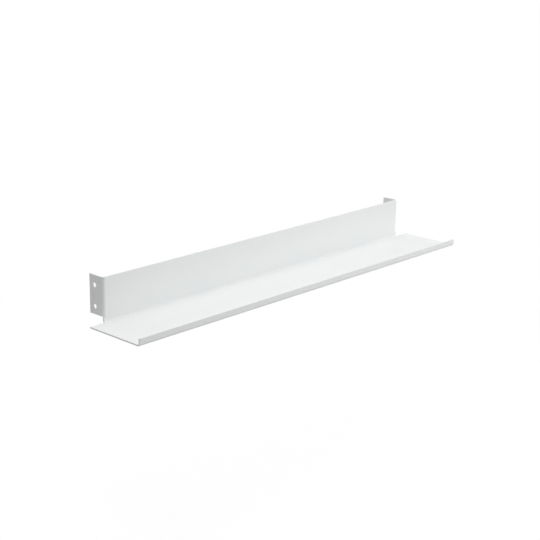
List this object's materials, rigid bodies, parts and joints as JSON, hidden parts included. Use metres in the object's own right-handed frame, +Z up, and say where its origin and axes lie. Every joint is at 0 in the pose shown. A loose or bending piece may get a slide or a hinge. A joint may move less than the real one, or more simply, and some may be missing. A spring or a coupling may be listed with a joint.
{
  "type": "folded steel wall shelf",
  "caption": "Long shallow shelf folded from white powder-coated sheet: flat floor, low front lip, back panel, and drilled end flanges that screw to uprights or brackets.",
  "frame": {"origin": "on the underside of the floor, midway between the floor's ends and midway between the lip's front face and the flanges' rear edges", "axes": "+X along the shelf, to the right seen from the front; +Y to the rear, the way the flanges point; +Z up"},
  "size_m": [0.8, 0.15, 0.075],
  "materials": {
    "powder_coat": "white satin powder coat with a fine orange-peel texture, on folded steel sheet"
  },
  "bodies": {
    "root": {"floor_panel": "powder_coat", "front_lip": "powder_coat", "back_panel": "powder_coat", "left_end_flange": "powder_coat", "right_end_flange": "powder_coat"}
  },
  "joints": []
}
